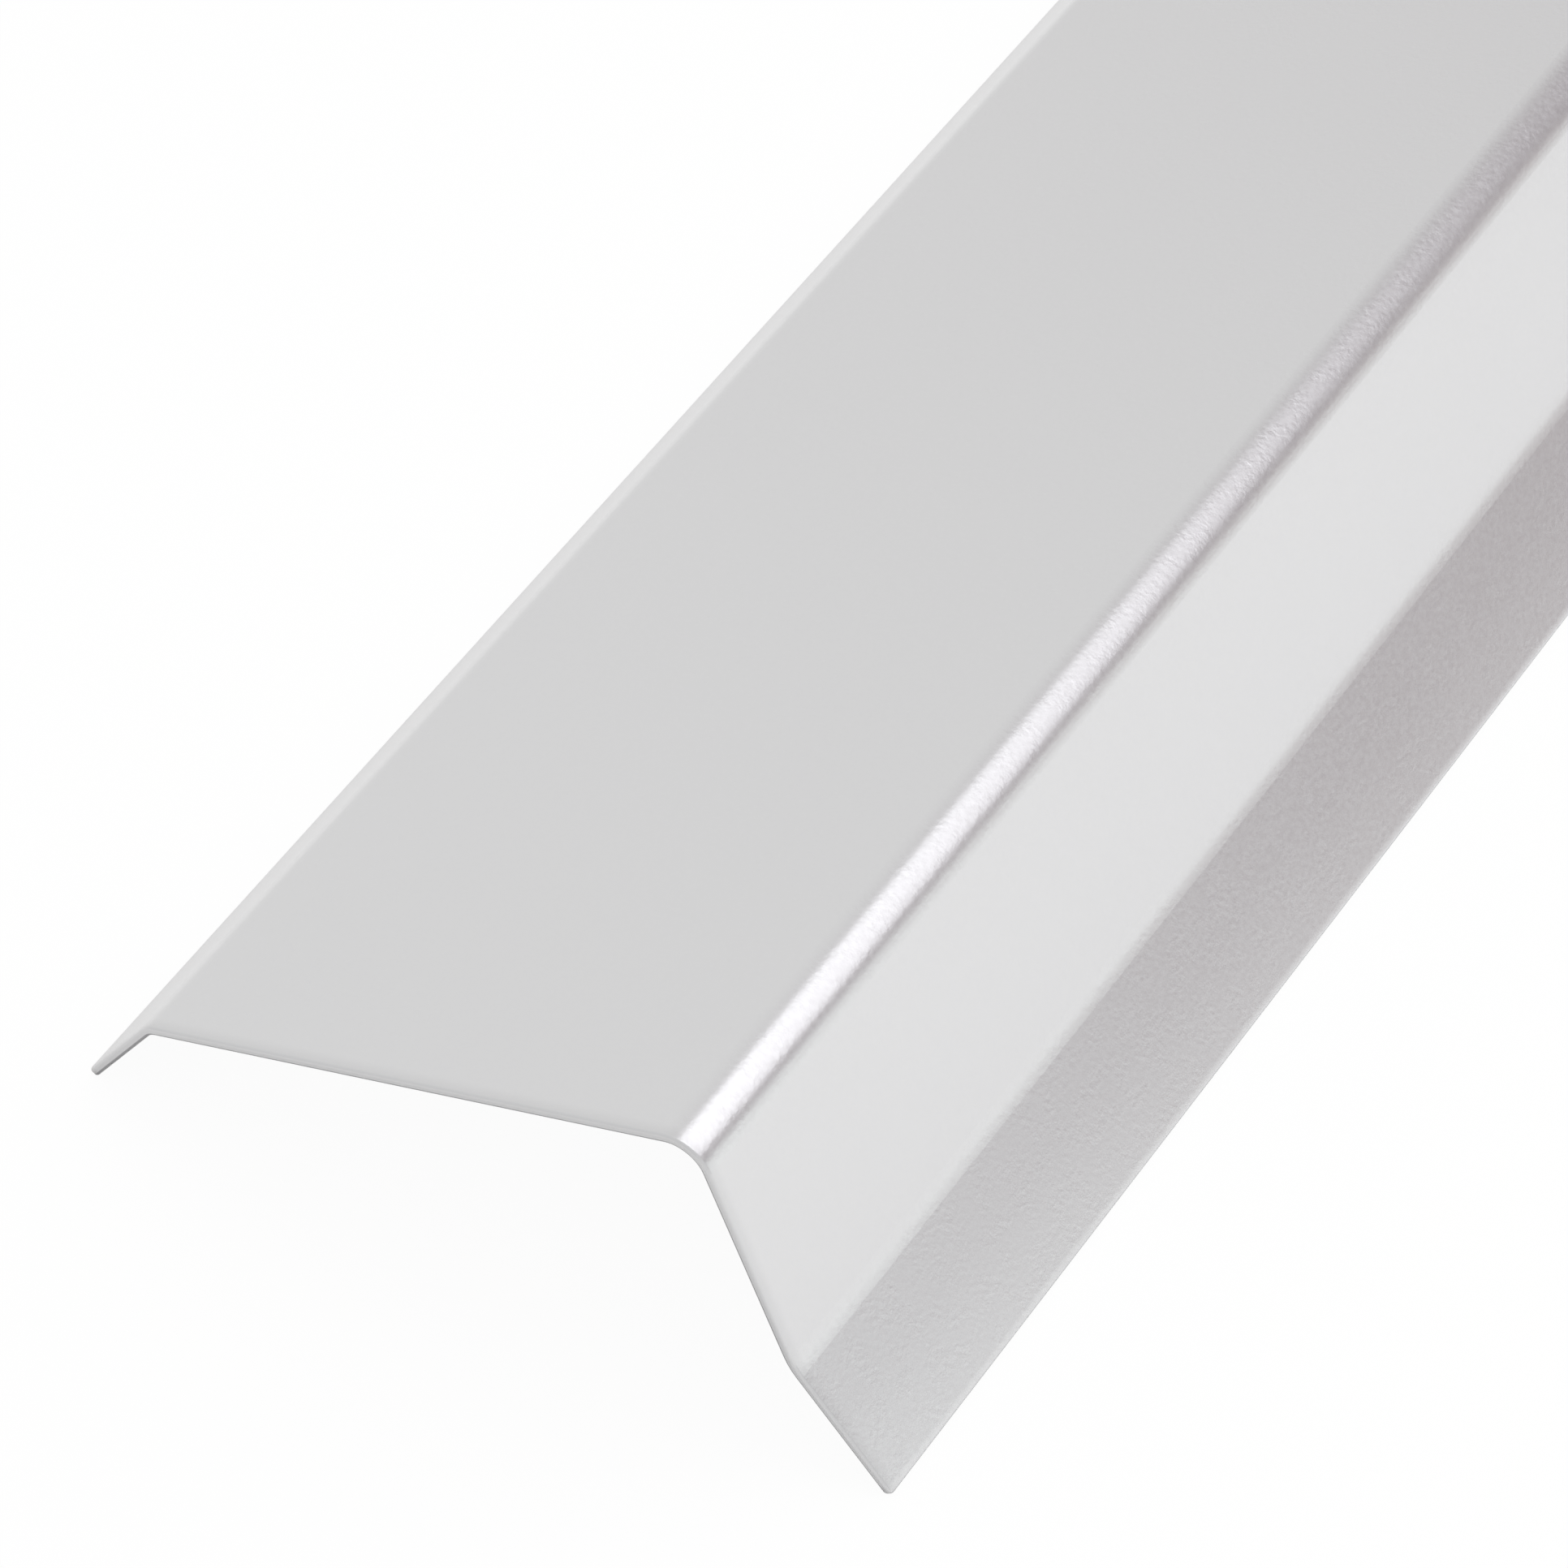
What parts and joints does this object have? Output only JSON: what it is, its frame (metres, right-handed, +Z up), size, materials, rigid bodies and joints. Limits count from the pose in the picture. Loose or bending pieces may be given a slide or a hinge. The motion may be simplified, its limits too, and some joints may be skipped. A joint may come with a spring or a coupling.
{
  "type": "roof edge trim",
  "caption": "Bent aluminium roof edge trim: turned-down back lip, wide roof flange, rounded nose, fascia drop and kicked-out drip, in one straight length.",
  "frame": {"origin": "Middle of the trim's base: halfway along it and midway between back and front, on the floor that its two free edges stand on.", "axes": "+Y runs along the trim, +X points from the back lip to the nose and drip, +Z is up."},
  "size_m": [0.1348, 2, 0.0546],
  "materials": {
    "satin_aluminium": "satin"
  },
  "bodies": {
    "root": {"roof_edge_trim": "satin_aluminium"}
  },
  "joints": []
}
